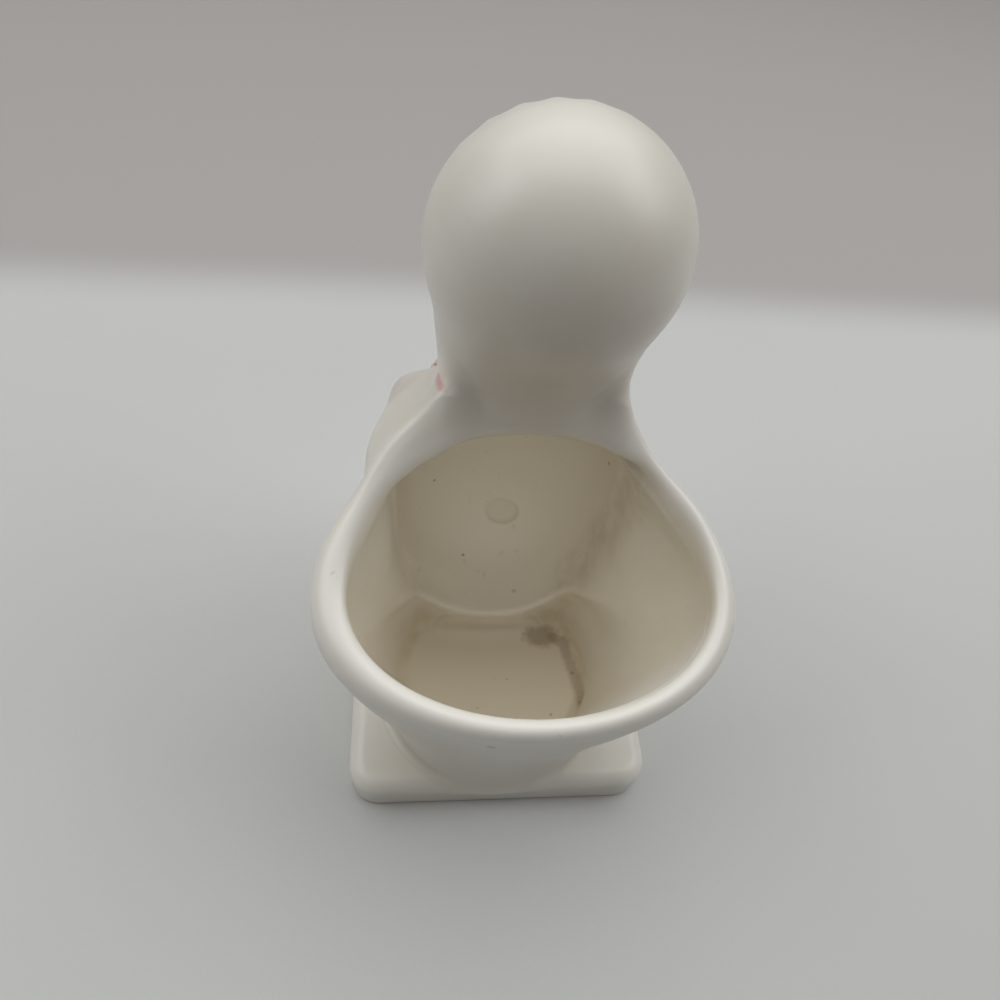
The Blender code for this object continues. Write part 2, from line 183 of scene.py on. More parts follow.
def f_outer(p, sh=None):
    outer, inner, torso = sh or shells(p)
    y, z = p[:, 1], p[:, 2]
    pot = smax(outer, z - rim_z(y), 5.2)
    pot = smax(pot, 9.0 - z, 1.0)
    d = smin(pot, torso, 9.0)
    fade = sstep(24.0, -3.0, y)
    funnel = 0.75 * (z - rim_z(y) + 3.0 * fade - 1.1 * np.maximum(inner, 0.0))
    return smax(d, funnel, 0.6 + 3.4 * fade)


def f_cavity(p, sh=None, solid=None):
    outer, inner, torso = sh = sh or shells(p)
    solid = f_outer(p, sh) if solid is None else solid
    z = p[:, 2]
    under = z - rim_z(p[:, 1])
    well = smax(inner, FLOOR - z, 2.6)
    x = np.abs(p[:, 0] - LIP_X)
    shelf = smax(p[:, 1] - (LIP_Y - 0.010 * x * x), LIP_Z - 11.0 * sstep(11.0, 19.5, x) - z, 1.6)
    shelf = smax(shelf, z - 70.0, 6.0)
    well = smax(well, -shelf, 2.0)
    well = smax(well, under - 12.0, 1.2)
    well = smax(well, -6.0 - p[:, 1] - 20.0 * sstep(40.0, 60.0, z), 3.0)
    roof = under + 3.5 + 0.9 * sstep(6.0, 18.0, x) + 0.8 * np.maximum(-4.0 - p[:, 1], 0.0)
    q = p.copy()
    q[:, 2] = np.where(z > BOWL_C[2], BOWL_C[2] + (z - BOWL_C[2]) * 0.8, z)
    q[:, 0] = BOWL_C[0] + (p[:, 0] - BOWL_C[0]) / (1.0 + 0.13 * sstep(64.0, 90.0, z))
    bowl = smax(supell(q, BOWL_C, BOWL_R, TORSO_N), roof, 2.6)
    wall = smin(solid, f_bulb(p), 4.0) + 4.0 - 8.0 * sstep(-14.0, -4.0, p[:, 1])
    bowl = smax(bowl, wall, 3.0)
    k = 1.6 + 5.4 * sstep(36.0, 56.0, z) + 9.0 * sstep(33.0, 62.0, z) * sstep(-3.0, -16.0, under)
    guard = smin(outer, torso, 9.0) + 3.4 - 12.0 * sstep(-6.0, -2.0, under)
    return smax(smin(well, bowl, k), guard, 4.0)


# ---- head and neck ---------------------------------------------------
HX = -1.5                                  # the head sits a little to one side
HEAD_C, HEAD_R = (HX, -22.0, 132.3), (25.0, 22.6, 24.7)
#             height  half width  back y  front y  centre x
BULB = table(((88.0, 22.0, -3.6, -30.0, 0.0),
              (97.0, 19.8, -4.6, -30.5, 0.0),
              (103.0, 18.9, -5.4, -31.0, 0.0),
              (108.0, 19.9, -5.6, -31.6, -0.3),
              (113.0, 20.9, -4.8, -34.0, -0.7),
              (118.0, 22.1, -3.1, -38.5, -1.1),
              (124.0, 23.7, -0.7, -43.0, HX),
              (131.0, 25.0, 0.6, -44.6, HX),
              (140.0, 25.0, 0.6, -44.6, HX)))
FACE_O = np.array((HX, -1.0, -4.3))        # where the face block sits
BRIM_C, BRIM_IN, BRIM_OUT = (HX, -37.3, 129.8), 16.2, 19.6


def mirror(p):
    q = p.copy()
    q[:, 0] = np.abs(q[:, 0])
    return q


def f_bulb(p):
    z = p[:, 2]
    low = smax(oval(p, BULB), 90.0 - z, 4.0)
    t = sstep(115.0, 131.0, z)
    return low * (1.0 - t) + ell(p, HEAD_C, HEAD_R) * t


def f_lock(p):
    lock = cap(p, (2.0, -36.4, 150.0), (1.2, -40.2, 146.4), 1.5, 1.9)  
    lock = smin(lock, cap(p, (1.2, -40.2, 146.4), (-1.4, -42.0, 143.6), 1.9, 1.5), 0.8)
    lock = smin(lock, cap(p, (-1.4, -42.0, 143.6), (-0.2, -43.0, 141.8), 1.5, 0.7), 0.6)
    lock = smin(lock, cap(p, (-2.6, -36.6, 149.4), (-3.2, -40.6, 145.6), 1.3, 0.9), 0.6)
    return lock


def f_face(p):
    p = p - FACE_O.astype(p.dtype)
    q = mirror(p)
    face = ell(p, (0.0, -21.4, 133.2), (19.2, 22.2, 20.6))
    face = smin(face, ell(q, (9.2, -34.6, 125.6), (7.4, 7.0, 6.8)), 6.0)       # cheeks
    face = smin(face, ell(p, (0.0, -37.6, 118.6), (5.6, 5.0, 4.4)), 5.0)       # chin
    face = smax(face, -ell(q, (7.9, -46.2, 133.4), (6.2, 5.4, 4.2)), 5.0)      # eye hollows
    face = smin(face, ell(q, (7.9, -39.2, 132.8), (4.9, 3.2, 3.5)), 1.4)       # lids
    face = smin(face, cap(p, (0.0, -41.2, 133.6), (0.0, -43.6, 128.6), 1.2, 1.9), 3.0)
    face = smin(face, ell(p, (0.0, -44.0, 128.2), (2.3, 2.0, 1.8)), 1.2)       # nose
    face = smin(face, ell(q, (1.9, -43.0, 127.8), (1.4, 1.5, 1.2)), 0.8)
    face = smin(face, ell(p, (0.0, -41.2, 122.6), (4.4, 2.6, 2.8)), 2.4)       # mouth mound
    lip_u = ell(q, (1.25, -43.5, 123.35), (2.2, 0.95, 0.75), rot("Y", 10))
    lip_l = ell(p, (0.0, -43.4, 121.75), (2.3, 1.05, 0.9))
    face = smin(face, smin(lip_u, lip_l, 0.35), 0.7)
    return smin(face, f_lock(p), 0.5)


def f_bonnet(p):
    d = f_bulb(p)
    x, z = p[:, 0] - BRIM_C[0], p[:, 2] - BRIM_C[2]
    ang = np.arctan2(z, x)
    gather = sstep(-27.0, -36.5, p[:, 1]) * sstep(108.0, 114.0, p[:, 2])
    d = d - 0.30 * np.cos(26.0 * ang) * gather
    front = -(p[:, 1] + 36.6 + 0.10 * (p[:, 2] - 130.0))
    return smax(d, front, 1.6)


def f_head(p):
    return smin(f_bonnet(p), f_face(p), 1.2)


def f_bonnet_brim(p):
    q = p - np.asarray(BRIM_C, p.dtype)
    x, z = q[:, 0], q[:, 2]
    y = q[:, 1] + 0.10 * z
    rho, ang = np.hypot(x, z), np.arctan2(z, x)
    s = np.clip((rho - BRIM_IN) / (BRIM_OUT - BRIM_IN), 0.0, 1.3)
    wave = np.cos(22.0 * ang + 0.35 * np.sin(3.0 * ang))
    sheet = np.abs(y + 0.5 - 1.45 * s * wave) * 0.72 - 0.62
    edge = np.maximum(BRIM_IN - rho, rho - BRIM_OUT - 0.25 * wave)
    d = smax(sheet, edge, 1.0)
    band = np.hypot((rho - BRIM_IN - 0.5) * 0.8, y + 0.2) - 1.25 - 0.12 * np.cos(44.0 * ang)
    return smin(d, band, 0.6)


# ---- ribbon, bow and collar -----------------------------------------
def f_neck_ribbon(p):
    d = smax(np.abs(f_main(p) - 0.05) - 0.5, np.abs(p[:, 2] - 103.4) - 1.6 + 1.0 * sstep(-27.0, -21.0, p[:, 1]), 0.7)
    return smax(d, p[:, 1] + 21.0, 0.7)


BOW_C = np.array((HX * 0.5, -35.6, 103.2))


def f_chin_bow(p):
    q = mirror(p - BOW_C.astype(p.dtype))
    knot = ell(q, (0.0, -1.6, 0.0), (2.9, 2.5, 2.7))
    R = rot("Y", -12)
    loop = ell(q, (7.4, -0.6, 0.9), (6.6, 2.5, 4.3), R)
    loop = smax(loop, -ell(q, (9.2, -3.0, 1.3), (4.2, 1.6, 2.2), R), 0.8)        # open end of the loop
    loop = smax(loop, -(cap(q, (2.4, -3.2, 0.2), (6.4, -3.4, 0.8), 0.55, 0.25)), 0.7)
    d = smin(knot, loop, 0.7)
    tail = smin(cap(q, (1.2, -0.6, -1.8), (3.6, -0.6, -6.4), 1.5, 1.7),
                cap(q, (3.6, -0.6, -6.4), (4.6, -1.6, -10.0), 1.7, 1.9), 0.8)
    tail = smax(tail * 1.0, np.abs(q[:, 1] + 1.0 - 0.12 * (q[:, 2] + 2.0)) - 1.0, 0.6)
    notch = (-10.6 - q[:, 2]) + 1.0 * (1.6 - np.minimum(np.abs(q[:, 0] - 4.6), 1.6))
    tail = smax(tail, notch, 0.4)
    return smin(d, tail, 0.5)


def f_collar(p):
    x, z = p[:, 0] - 0.6, p[:, 2] - 94.0
    ang = np.arctan2(z, x)
    rad = np.hypot(x / 19.5, z / 17.5)
    out = (rad - 1.0) * 17.5 - 0.9 * np.abs(np.sin(7.5 * ang))
    d = smax(np.abs(f_torso(p) - 0.15) - 0.75, out * 0.9, 0.7)
    bead = np.hypot(out * 0.9 + 1.5, f_torso(p) - 0.8) - 0.55                     # stitched line
    d = smin(d, bead, 0.3)
    d = smax(d, p[:, 1] + 24.0, 0.6)
    return smax(d, p[:, 2] - 100.0, 0.6)


# ---- arms ------------------------------------------------------------
L_SH, L_EL, L_WR = (20.4, -20.6, 87.6), (25.6, -30.4, 72.6), (15.6, -41.4, 73.0)
R_SH, R_EL, R_WR = (-17.2, -25.4, 80.4), (-29.0, -31.0, 61.0), (-23.0, -41.0, 48.6)


def sleeve(p, sh, el, r, cuff, only=None):
    """Puffed sleeve with soft gathers running to a frilled cuff."""
    sh, el = np.asarray(sh, float), np.asarray(el, float)
    ax = unit(el - sh)
    u = unit(np.cross(ax, (0.0, 0.0, 1.0)))
    v = np.cross(ax, u)
    q = p - np.asarray(sh, p.dtype)
    h = q @ ax.astype(p.dtype)
    ang = np.arctan2(q @ v.astype(p.dtype), q @ u.astype(p.dtype))
    d = supell(p, sh + ax * 1.0, (r, r, r * 1.05), 2.8)
    d = d - 0.32 * np.cos(14.0 * ang) * sstep(1.0, 7.0, h) * sstep(r + 3.0, r - 2.0, h)
    rad = np.sqrt(np.maximum((q * q).sum(1) - h * h, 0.0))
    frill = np.hypot((rad - 7.3) * 0.9, h - cuff - 0.45 * np.cos(18.0 * ang)) - 1.25
    if only:
        return {"puff": d, "frill": frill}[only]
    return smin(d, frill * 0.85, 1.0)


def hand(p, wrist, palm, tip_dir, side, spread, size=1.0):
    """Small chubby hand: palm, four short fingers and a thumb."""
    palm = np.asarray(palm, float)
    t = unit(tip_dir)
    s = unit(np.asarray(side, float) - t * np.dot(side, t))
    n = np.cross(t, s)
    R = np.stack([t, s, n], 1)
    d = ell(p, palm, (4.6 * size, 4.3 * size, 2.7 * size), R)
    for i in range(4):
        o = (i - 1.5) * 2.05 * size
        a = palm + t * (2.6 * size) + s * o
        b = palm + t * ((5.9 - 0.35 * abs(i - 1.3)) * size) + s * (o * (1.0 + spread)) - n * (0.5 * size)
        d = smin(d, cap(p, a, b, 1.25 * size, 1.02 * size), 0.55)
    a = palm + s * (3.0 * size) - t * (1.0 * size)
    b = palm + s * (5.6 * size) + t * (2.2 * size) - n * (0.4 * size)
    return smin(d, cap(p, a, b, 1.5 * size, 1.15 * size), 0.9)


def f_left_arm(p):
    d = cap(p, L_SH, L_EL, 6.4, 6.3)
    d = smin(d, cap(p, L_EL, L_WR, 6.2, 4.1), 2.2)
    d = smin(d, hand(p, L_WR, (11.6, -42.6, 74.6), (-0.96, -0.10, 0.22), (0.2, 0.1, 1.0), 0.1), 1.2)
    return smin(d, sleeve(p, L_SH, L_EL, 9.4, 9.2), 0.7)


def f_right_arm(p):
    d = cap(p, R_SH, R_EL, 6.6, 6.3)
    d = smin(d, cap(p, R_EL, R_WR, 6.2, 4.1), 2.2)
    d = smin(d, hand(p, R_WR, (-20.6, -43.6, 44.0), (0.42, -0.30, -0.86), (0.9, 0.0, 0.4), 0.1), 1.2)
    return smin(d, sleeve(p, R_SH, R_EL, 9.4, 9.4), 0.7)


# ---- legs ------------------------------------------------------------
HIP, KNEE, ANKLE = (19.5, -8.0, 24.2), (22.8, -28.0, 24.4), (18.6, -41.0, 21.6)


def leg(p, s, only=None):
    q = p.copy()
    q[:, 0] = s * q[:, 0]
    d = cap(q, HIP, KNEE, 11.6, 10.2)
    d = smin(d, cap(q, KNEE, ANKLE, 9.4, 6.9), 1.6)
    R = rot("X", 12)
    boot = ell(q, (18.2, -45.0, 23.0), (7.0, 6.2, 9.2), R)
    boot = smin(boot, ell(q, (18.4, -43.4, 18.8), (6.8, 6.6, 6.4)), 2.0)
    d = smin(d, boot, 0.8)
    ax = unit(np.subtract(ANKLE, KNEE))
    c = np.add(KNEE, ax * 8.6)
    dq = q - np.asarray(c, p.dtype)
    h = dq @ ax.astype(p.dtype)
    u = unit(np.cross(ax, (0.0, 0.0, 1.0)))
    v = np.cross(ax, u)
    ang = np.arctan2(dq @ v.astype(p.dtype), dq @ u.astype(p.dtype))
    rad = np.sqrt(np.maximum((dq * dq).sum(1) - h * h, 0.0))
    frill = np.hypot((rad - 8.0) * 0.9, h - 0.4 * np.cos(16.0 * ang)) - 1.5
    if only:
        return {"boot": boot, "frill": frill, "shin": h}[only]
    return smin(d, frill * 0.85, 0.7)


def f_left_leg(p):
    return leg(p, 1.0)


def f_right_leg(p):
    return leg(p, -1.0)


# ---- plinth ----------------------------------------------------------
PL_HX, PL_Y0, PL_Y1, PL_H, PL_R = 40.0, -51.6, 40.0, 12.0, 8.0


def rrect(p, hx, y0, y1, r):
    x = np.abs(p[:, 0]) - (hx - r)
    y = np.abs(p[:, 1] - 0.5 * (y0 + y1)) - (0.5 * (y1 - y0) - r)
    return (np.hypot(np.maximum(x, 0.0), np.maximum(y, 0.0))
            + np.minimum(np.maximum(x, y), 0.0) - r)


def f_plinth(p):
    z = p[:, 2]
    d2 = rrect(p, PL_HX, PL_Y0, PL_Y1, PL_R)
    e = np.where(z > 5.0, 4.0, 1.3)
    wx, wz = d2 + e, np.abs(z - 0.5 * PL_H) - 0.5 * PL_H + e
    d = (np.minimum(np.maximum(wx, wz), 0.0)
         + np.hypot(np.maximum(wx, 0.0), np.maximum(wz, 0.0)) - e)
    rec = smax(rrect(p, PL_HX - 8.0, PL_Y0 + 8.0, PL_Y1 - 8.0, 6.0), z - 2.0, 1.4)
    return smax(d, -rec, 1.0)


# ---- how the castings run into each other under the glaze ------------
BOXES = {
    "head": ((-36, -58, 84), (36, 22, 172)),
    "left_arm": ((-4, -60, 52), (52, 6, 116)),
    "right_arm": ((-52, -60, 28), (0, 6, 110)),
    "left_leg": ((-6, -64, -4), (48, 16, 50)),
    "right_leg": ((-48, -64, -4), (6, 16, 50)),
    "plinth": ((-60, -72, -20), (60, 60, 30)),
}
FIELDS = {"head": f_head, "left_arm": f_left_arm, "right_arm": f_right_arm,
          "left_leg": f_left_leg, "right_leg": f_right_leg, "plinth": f_plinth}


def boxed(name, p):
    lo, hi = BOXES[name]
    m = ((p > np.asarray(lo, p.dtype)) & (p < np.asarray(hi, p.dtype))).all(1)
    out = np.full(len(p), 60.0, p.dtype)
    if m.any():
        out[m] = FIELDS[name](p[m])
    return out


SEAM_Z = 106.0
ARM_K, LEG_K, FOOT_K = 1.8, 2.0, 3.0


def f_main(p):
    """Pot, torso, neck and head as one hollow skin."""
    sh = shells(p)
    solid = f_outer(p, sh)
    back = sstep(-20.0, -8.0, p[:, 1])
    side = sstep(10.0, 20.0, np.abs(p[:, 0]))
    d = smin(solid, boxed("head", p), 6.5 - 3.5 * back + 10.0 * back * side)
    return smax(d, -f_cavity(p, sh, solid), 2.0 + 1.4 * sstep(0.0, 14.0, p[:, 1]))


def f_body(p):
    return smin(f_main(p), boxed("plinth", p), FOOT_K)


def r_body(p):
    return np.maximum(p[:, 2] - SEAM_Z, f_main(p) - boxed("plinth", p) - 0.93 * FOOT_K)


def r_head(p):
    return SEAM_Z - p[:, 2]


def f_arm(name):
    return lambda p: smin(boxed(name, p), f_main(p), ARM_K)


def r_arm(name):
    return lambda p: np.maximum(boxed(name, p) - f_main(p) - 0.93 * ARM_K, 2.0 - f_cavity(p))


def f_leg(name):
    return lambda p: smin(smin(boxed(name, p), f_main(p), LEG_K), boxed("plinth", p), ARM_K)


def r_leg(name):
    return lambda p: np.maximum(2.0 - f_cavity(p),
                                np.maximum(boxed(name, p) - f_main(p) - 0.93 * LEG_K,
                                           boxed(name, p) - boxed("plinth", p) - 0.93 * ARM_K))


# =====================================================================
#  Polygons from a field
# =====================================================================
def gradient(f, p, e):
    g = np.empty_like(p)
    for i in range(3):
        a, b = p.copy(), p.copy()
        a[:, i] += e
        b[:, i] -= e
        g[:, i] = (f(a) - f(b)) / (2.0 * e)
    return g


def nets(f, lo, hi, h):
    """Quads over the zero level of f, relaxed and pulled onto the surface."""
    lo, hi = np.asarray(lo, float), np.asarray(hi, float)
    n = np.ceil((hi - lo) / h).astype(int) + 1
    xs = [(lo[i] + h * np.arange(n[i])).astype(np.float32) for i in range(3)]
    vals = np.empty(tuple(n), np.float32)
    step = max(1, int(400000 / (n[1] * n[2])))
    for i in range(0, n[0], step):
        g = np.stack(np.meshgrid(xs[0][i:i + step], xs[1], xs[2], indexing="ij"), -1)
        vals[i:i + step] = f(g.reshape(-1, 3)).reshape(g.shape[:3])
    neg = vals < 0.0
    c = [neg[i:n[0] - 1 + i, j:n[1] - 1 + j, k:n[2] - 1 + k]
         for i in (0, 1) for j in (0, 1) for k in (0, 1)]
    count = sum(x.astype(np.int8) for x in c)
    active = (count > 0) & (count < 8)
    idx = np.full(active.shape, -1, np.int64)
    cells = np.argwhere(active)
    idx[active] = np.arange(len(cells))
    acc = np.zeros((len(cells), 3))
    num = np.zeros(len(cells))
    corners = [(i, j, k) for i in (0, 1) for j in (0, 1) for k in (0, 1)]
    for a in corners:
        for ax in range(3):
            if a[ax]:
                continue
            b = list(a)
            b[ax] = 1
            va = vals[cells[:, 0] + a[0], cells[:, 1] + a[1], cells[:, 2] + a[2]]
            vb = vals[cells[:, 0] + b[0], cells[:, 1] + b[1], cells[:, 2] + b[2]]
            m = (va < 0) != (vb < 0)
            t = np.where(m, va / np.where(m, va - vb, 1.0), 0.0)
            pos = np.tile(np.asarray(a, float), (len(cells), 1))
            pos[:, ax] += t
            acc[m] += pos[m]
            num[m] += 1
    v = lo + h * (cells + acc / num[:, None])
    quads = []
    for ax in range(3):
        u, w = (ax + 1) % 3, (ax + 2) % 3
        s0 = [slice(None)] * 3
        s1 = [slice(None)] * 3
        s0[ax], s1[ax] = slice(0, n[ax] - 1), slice(1, n[ax])
        cross = neg[tuple(s0)] != neg[tuple(s1)]
        e = np.argwhere(cross)
        ok = (e[:, u] > 0) & (e[:, w] > 0) & (e[:, u] < n[u] - 1) & (e[:, w] < n[w] - 1)
        e = e[ok]
        inside = neg[tuple(e.T)]
        ring4 = []
        for du, dw in ((-1, -1), (0, -1), (0, 0), (-1, 0)):
            cc = e.copy()
            cc[:, u] += du
            cc[:, w] += dw
            ring4.append(idx[tuple(cc.T)])
        q = np.stack(ring4, 1)
        q[~inside] = q[~inside][:, ::-1]
        quads.append(q)
    quads = np.concatenate(quads)
    quads = quads[(quads >= 0).all(1)]
    for it in range(3):
        if it < 2:
            s = np.zeros_like(v)
            k = np.zeros(len(v))
            for a, b in ((0, 1), (1, 2), (2, 3), (3, 0)):
                np.add.at(s, quads[:, a], v[quads[:, b]])
                np.add.at(s, quads[:, b], v[quads[:, a]])
                np.add.at(k, quads[:, a], 1)
                np.add.at(k, quads[:, b], 1)
            v = np.where(k[:, None] > 0, 0.5 * v + 0.5 * s / np.maximum(k, 1)[:, None], v)
        d = f(v)
        g = gradient(f, v, 0.12 * h)
        g2 = np.maximum((g * g).sum(1), 0.05)
        v = v - np.clip(d / g2, -0.6 * h, 0.6 * h)[:, None] * g
    return v, quads


def clip(v, quads, phi):
    """Keeps the part of the mesh where phi <= 0, cutting through the faces that cross it."""
    inside = phi <= 0.0
    full = inside[quads].all(1)
    part = inside[quads].any(1) & ~full
    faces = [tuple(q) for q in quads[full]]
    new, extra = {}, []

    def cut(a, b):
        key = (a, b) if a < b else (b, a)
        if key not in new:
            t = phi[key[0]] / (phi[key[0]] - phi[key[1]])
            t = min(0.98, max(0.02, t))
            new[key] = len(v) + len(extra)
            extra.append(v[key[0]] * (1 - t) + v[key[1]] * t)
        return new[key]

    for q in quads[part]:
        for tri in ((q[0], q[1], q[2]), (q[0], q[2], q[3])):
            poly = []
            for a, b in zip(tri, tri[1:] + tri[:1]):
                if inside[a]:
                    poly.append(int(a))
                if inside[a] != inside[b]:
                    poly.append(cut(int(a), int(b)))
            if len(poly) >= 3:
                faces.append(tuple(poly))
    if extra:
        v = np.concatenate([v, np.array(extra)])
    return v, faces


def on_axis(q, axis):
    best = None
    for a, b in zip(axis[:-1], axis[1:]):
        a, b = np.asarray(a, float), np.asarray(b, float)
        t = np.clip(((q - a) @ (b - a)) / ((b - a) @ (b - a)), 0.0, 1.0)
        c = a + t * (b - a)
        if best is None or np.linalg.norm(c - q) < np.linalg.norm(best - q):
            best = c
    return best


def close(v, faces, axis=None):
    """Caps every open loop with a fan, its hub on the limb's axis if it has one."""
    edges = {}
    for f in faces:
        for a, b in zip(f, f[1:] + f[:1]):
            if (b, a) in edges:
                del edges[(b, a)]
            else:
                edges[(a, b)] = True
    nxt = {}
    for a, b in edges:
        nxt.setdefault(a, []).append(b)
    caps, pts = [], []
    while nxt:
        start = next(iter(nxt))
        loop, at = [start], nxt[start].pop()
        if not nxt[start]:
            del nxt[start]
        while at != start and at in nxt:
            loop.append(at)
            b = nxt[at].pop()
            if not nxt[at]:
                del nxt[at]
            at = b
        if len(loop) < 3:
            continue
        hub = len(v) + len(pts)
        mid = v[loop].mean(0)
        pts.append(mid if axis is None else on_axis(mid, axis))
        for a, b in zip(loop, loop[1:] + loop[:1]):
            caps.append((b, a, hub))
    if pts:
        v = np.concatenate([v, np.array(pts)])
    return v, caps


def build(name, f, lo, hi, h, phi=None, attrs=None, axis=None):
    v, quads = nets(f, lo, hi, h * FINE)
    if phi is not None:
        v, faces = clip(v, quads, phi(v))
        v, caps = close(v, faces, axis)
    else:
        faces, caps = [tuple(q) for q in quads], []
    used = np.zeros(len(v), bool)
    for q in faces + caps:
        used[list(q)] = True
    remap = np.cumsum(used) - 1
    v = v[used]
    faces = [tuple(int(remap[i]) for i in q) for q in faces]
    caps = [tuple(int(remap[i]) for i in q) for q in caps]
    n = gradient(f, v, 0.12)
    n /= np.maximum(np.linalg.norm(n, axis=1), 1e-9)[:, None]
    me = bpy.data.meshes.new(name)
    me.from_pydata((v * MM).tolist(), [], faces + caps)
    me.polygons.foreach_set("use_smooth", [True] * len(faces) + [False] * len(caps))
    me.update()
    total = len(me.loops)
    vi = np.empty(total, np.int32)
    me.loops.foreach_get("vertex_index", vi)
    ln = n[vi]
    if caps:
        first = me.polygons[len(faces)].loop_start
        fn = np.array([me.polygons[len(faces) + i].normal[:] for i in range(len(caps))])
        ln[first:] = np.repeat(fn, 3, axis=0)
    me.normals_split_custom_set([tuple(x) for x in ln])
    for key, val in (attrs(v, n) if attrs else {}).items():
        at = me.attributes.new(key, "FLOAT", "POINT")
        at.data.foreach_set("value", np.asarray(val, np.float32))
    ob = bpy.data.objects.new(name, me)
    bpy.context.scene.collection.objects.link(ob)
    print(name, len(me.vertices), "verts", len(me.polygons), "faces")
    return ob


def curvature(f, v, e):
    """Positive in hollows, negative on edges, as 1/mm at scale e."""
    c = -6.0 * f(v)
    for i in range(3):
        for s in (-e, e):
            q = v.copy()
            q[:, i] += s
            c += f(q)
    return -c / (e * e)


# =====================================================================
#  Pieces
# =====================================================================
def glaze_attrs(f):
    return lambda v, n: {
        "cav": sstep(2.4, -0.2, f_cavity(v)) * sstep(0.2, -2.2, v[:, 2] - rim_z(v[:, 1])),
        "hollow": np.clip(curvature(f, v, 1.6), -1.0, 1.0),
    }


def head_attrs(v, n):
    out = glaze_attrs(f_main)(v, n)
    q = v - FACE_O
    out["skin"] = sstep(-0.5, 0.5, f_bonnet(v) - f_face(v)) * sstep(-28.0, -31.0, v[:, 1])
    out["hair"] = sstep(0.55, 0.1, f_lock(q))
    return out


def arm_attrs(nm, sh, el, cuff, out_dir):
    def go(v, n):
        out = glaze_attrs(f_arm(nm))(v, n)
        puff, frill = sleeve(v, sh, el, 9.4, cuff, "puff"), sleeve(v, sh, el, 9.4, cuff, "frill")
        out["skin"] = sstep(0.2, 0.7, np.minimum(puff, frill)) * sstep(3.0, 6.0, (v - sh) @ unit(np.subtract(el, sh)))
        out["trim"] = sstep(0.6, 0.1, frill)
        # pink airbrush tint on the sleeve's outward-facing side, greyed as painted shade
        out["airbrush_and_shade"] = sstep(0.15, 0.75, n @ unit(out_dir)) * sstep(1.0, 0.3, puff)
        return out
    return go


def leg_attrs(nm, s):
    def go(v, n):
        out = glaze_attrs(f_leg(nm))(v, n)
        out["skin"] = sstep(0.0, -2.0, leg(v, s, "shin")) * 0.55
        out["trim"] = sstep(0.6, 0.1, leg(v, s, "frill"))
        out["airbrush_and_shade"] = sstep(0.8, 0.1, leg(v, s, "boot")) * sstep(-44.0, -49.5, v[:, 1])
        return out
    return go


def flip(axis):
    return [(-a[0], a[1], a[2]) for a in axis]


LEG_AXIS = [HIP, KNEE, ANKLE]
PIECES = {}
PIECES["pot_body"] = build("pot_body_skin", f_body, (-47, -43, 1), (47, 56, 109), 0.8,
                           r_body, glaze_attrs(f_body))
PIECES["head"] = build("head_skin", f_main, (-29, -49, 103), (27, 6, 160), 0.5,
                       r_head, head_attrs)
PIECES["plinth"] = build("plinth_skin", f_plinth, (-42, -55, -2), (42, 42, 14), 0.8,
                         None, glaze_attrs(f_plinth))
for nm, lo, hi, ax, cuff, out_dir in (
        ("left_arm", (2, -52, 60), (46, -2, 110), [L_SH, L_EL, L_WR], 9.2, (0.85, -0.5, -0.1)),
        ("right_arm", (-46, -54, 32), (-6, -2, 104), [R_SH, R_EL, R_WR], 9.4, (-0.85, -0.5, -0.1))):
    PIECES[nm] = build(nm + "_skin", f_arm(nm), lo, hi, 0.5, r_arm(nm),
                       arm_attrs(nm, ax[0], ax[1], cuff, out_dir), ax)
for nm, lo, hi, ax, side in (("left_leg", (2, -56, 9), (40, 8, 42), LEG_AXIS, 1.0),
                             ("right_leg", (-40, -56, 9), (-2, 8, 42), flip(LEG_AXIS), -1.0)):
    PIECES[nm] = build(nm + "_skin", f_leg(nm), lo, hi, 0.6, r_leg(nm), leg_attrs(nm, side), ax)
for nm, f, lo, hi, h in (("bonnet_brim", f_bonnet_brim, (-25, -43, 107), (23, -31, 155), 0.42),
                         ("neck_ribbon", f_neck_ribbon, (-25, -39, 98), (25, -7, 114), 0.4),
                         ("chin_bow", f_chin_bow, (-18, -43, 89), (18, -30, 111), 0.4),
                         ("collar", f_collar, (-24, -46, 72), (25, -20, 103), 0.45)):
    PIECES[nm] = build(nm + "_skin", f, lo, hi, h, None, glaze_attrs(f))

# =====================================================================
#  Materials
# =====================================================================
SLOTS = {"pot_body": "white_glaze", "head": "head_glaze", "plinth": "plinth_glaze",
         "left_arm": "limb_glaze", "right_arm": "limb_glaze",
         "left_leg": "limb_glaze", "right_leg": "limb_glaze",
         "bonnet_brim": "trim_glaze", "collar": "trim_glaze",
         "neck_ribbon": "pink_glaze", "chin_bow": "pink_glaze"}


